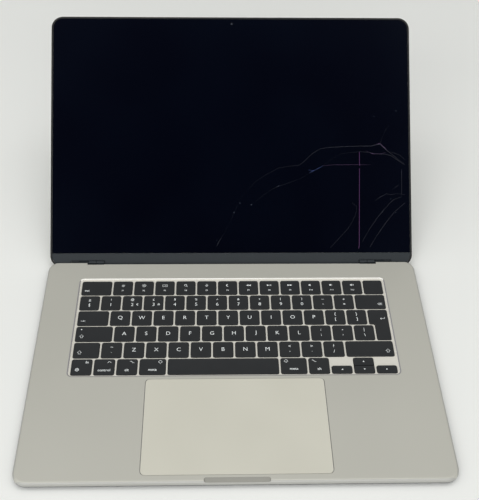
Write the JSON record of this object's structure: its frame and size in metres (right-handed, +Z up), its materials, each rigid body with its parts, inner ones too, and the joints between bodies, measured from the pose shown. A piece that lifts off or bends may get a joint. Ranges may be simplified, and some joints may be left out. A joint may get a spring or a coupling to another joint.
{
  "type": "laptop computer",
  "caption": "Open thin laptop with a cracked dark display, a dark keyboard in a sunken well, a large trackpad and a lid on a friction hinge.",
  "frame": {"origin": "on the surface that the feet stand on, under the middle of the open laptop's bounding box", "axes": "+Z up, +X to the user's right along the hinge, +Y from the user's front edge towards the hinge and lid"},
  "size_m": [0.3404, 0.407, 0.1631],
  "materials": {
    "aluminium": "fine bead-blasted and anodised, warm light grey, satin",
    "key_plastic": "matt dark grey key plastic with pale legends",
    "trackpad_glass": "satin etched pad, a shade paler than the deck",
    "display_glass": "gloss black-blue opaque display glass with pale cracks",
    "black_plastic": "satin dark grey plastic",
    "rubber": "matt near-black rubber",
    "steel": "plain steel",
    "inner_aluminium": "plain rolled sheet",
    "circuit_board": "dark green solder mask",
    "battery_film": "black cell wrap",
    "flex_film": "amber polyimide film"
  },
  "bodies": {
    "base": {"top_case": "aluminium", "bottom_cover": "aluminium", "keyboard_plate": "key_plastic", "trackpad_glass": "trackpad_glass", "antenna_bar": "black_plastic", "audio_jack": "black_plastic", "speaker_left": "black_plastic", "speaker_right": "black_plastic", "foot_front_left": "rubber", "foot_front_right": "rubber", "foot_rear_left": "rubber", "foot_rear_right": "rubber", "cover_screw_1": "steel", "cover_screw_2": "steel", "cover_screw_3": "steel", "cover_screw_4": "steel", "trackpad_frame": "steel", "charge_port": "steel", "usb_port_rear": "steel", "usb_port_front": "steel", "hinge_bracket_left": "steel", "hinge_bracket_right": "steel", "heat_spreader": "inner_aluminium", "logic_board": "circuit_board", "battery_left": "battery_film", "battery_centre": "battery_film", "battery_right": "battery_film", "display_flex": "flex_film"},
    "lid": {"lid_shell": "aluminium", "display_gasket": "rubber", "display_glass": "display_glass", "hinge_cover": "black_plastic", "display_panel": "black_plastic", "camera_module": "black_plastic", "display_board": "circuit_board", "hinge_arm_left": "steel", "hinge_arm_right": "steel"},
    "key_escape": {"key_escape": "key_plastic"},
    "key_power": {"key_power": "key_plastic"},
    "key_backspace": {"key_backspace": "key_plastic"},
    "key_tab": {"key_tab": "key_plastic"},
    "key_return": {"key_return": "key_plastic"},
    "key_caps_lock": {"key_caps_lock": "key_plastic"},
    "key_shift_left": {"key_shift_left": "key_plastic"},
    "key_shift_right": {"key_shift_right": "key_plastic"},
    "key_fn": {"key_fn": "key_plastic"},
    "key_control": {"key_control": "key_plastic"},
    "key_alt_left": {"key_alt_left": "key_plastic"},
    "key_alt_right": {"key_alt_right": "key_plastic"},
    "key_meta_left": {"key_meta_left": "key_plastic"},
    "key_meta_right": {"key_meta_right": "key_plastic"},
    "key_space": {"key_space": "key_plastic"},
    "key_arrow_left": {"key_arrow_left": "key_plastic"},
    "key_arrow_down": {"key_arrow_down": "key_plastic"},
    "key_arrow_up": {"key_arrow_up": "key_plastic"},
    "key_arrow_right": {"key_arrow_right": "key_plastic"}
  },
  "joints": [
    {"name": "lid_hinge", "type": "hinge", "parent": "base", "child": "lid", "pos_m": [0, 0.02961, 0.0066], "axis": [1, 0, 0], "range_deg": [0, 137.5]},
    {"name": "key_escape_press", "type": "slide", "parent": "base", "child": "key_escape", "axis": [0, 0, -1], "range_m": [0, 0.001], "stiffness_N_per_m": 600},
    {"name": "key_power_press", "type": "slide", "parent": "base", "child": "key_power", "axis": [0, 0, -1], "range_m": [0, 0.001], "stiffness_N_per_m": 600},
    {"name": "key_backspace_press", "type": "slide", "parent": "base", "child": "key_backspace", "axis": [0, 0, -1], "range_m": [0, 0.001], "stiffness_N_per_m": 600},
    {"name": "key_tab_press", "type": "slide", "parent": "base", "child": "key_tab", "axis": [0, 0, -1], "range_m": [0, 0.001], "stiffness_N_per_m": 600},
    {"name": "key_return_press", "type": "slide", "parent": "base", "child": "key_return", "axis": [0, 0, -1], "range_m": [0, 0.001], "stiffness_N_per_m": 600},
    {"name": "key_caps_lock_press", "type": "slide", "parent": "base", "child": "key_caps_lock", "axis": [0, 0, -1], "range_m": [0, 0.001], "stiffness_N_per_m": 600},
    {"name": "key_shift_left_press", "type": "slide", "parent": "base", "child": "key_shift_left", "axis": [0, 0, -1], "range_m": [0, 0.001], "stiffness_N_per_m": 600},
    {"name": "key_shift_right_press", "type": "slide", "parent": "base", "child": "key_shift_right", "axis": [0, 0, -1], "range_m": [0, 0.001], "stiffness_N_per_m": 600},
    {"name": "key_fn_press", "type": "slide", "parent": "base", "child": "key_fn", "axis": [0, 0, -1], "range_m": [0, 0.001], "stiffness_N_per_m": 600},
    {"name": "key_control_press", "type": "slide", "parent": "base", "child": "key_control", "axis": [0, 0, -1], "range_m": [0, 0.001], "stiffness_N_per_m": 600},
    {"name": "key_alt_left_press", "type": "slide", "parent": "base", "child": "key_alt_left", "axis": [0, 0, -1], "range_m": [0, 0.001], "stiffness_N_per_m": 600},
    {"name": "key_alt_right_press", "type": "slide", "parent": "base", "child": "key_alt_right", "axis": [0, 0, -1], "range_m": [0, 0.001], "stiffness_N_per_m": 600},
    {"name": "key_meta_left_press", "type": "slide", "parent": "base", "child": "key_meta_left", "axis": [0, 0, -1], "range_m": [0, 0.001], "stiffness_N_per_m": 600},
    {"name": "key_meta_right_press", "type": "slide", "parent": "base", "child": "key_meta_right", "axis": [0, 0, -1], "range_m": [0, 0.001], "stiffness_N_per_m": 600},
    {"name": "key_space_press", "type": "slide", "parent": "base", "child": "key_space", "axis": [0, 0, -1], "range_m": [0, 0.001], "stiffness_N_per_m": 600},
    {"name": "key_arrow_left_press", "type": "slide", "parent": "base", "child": "key_arrow_left", "axis": [0, 0, -1], "range_m": [0, 0.001], "stiffness_N_per_m": 600},
    {"name": "key_arrow_down_press", "type": "slide", "parent": "base", "child": "key_arrow_down", "axis": [0, 0, -1], "range_m": [0, 0.001], "stiffness_N_per_m": 600},
    {"name": "key_arrow_up_press", "type": "slide", "parent": "base", "child": "key_arrow_up", "axis": [0, 0, -1], "range_m": [0, 0.001], "stiffness_N_per_m": 600},
    {"name": "key_arrow_right_press", "type": "slide", "parent": "base", "child": "key_arrow_right", "axis": [0, 0, -1], "range_m": [0, 0.001], "stiffness_N_per_m": 600}
  ]
}
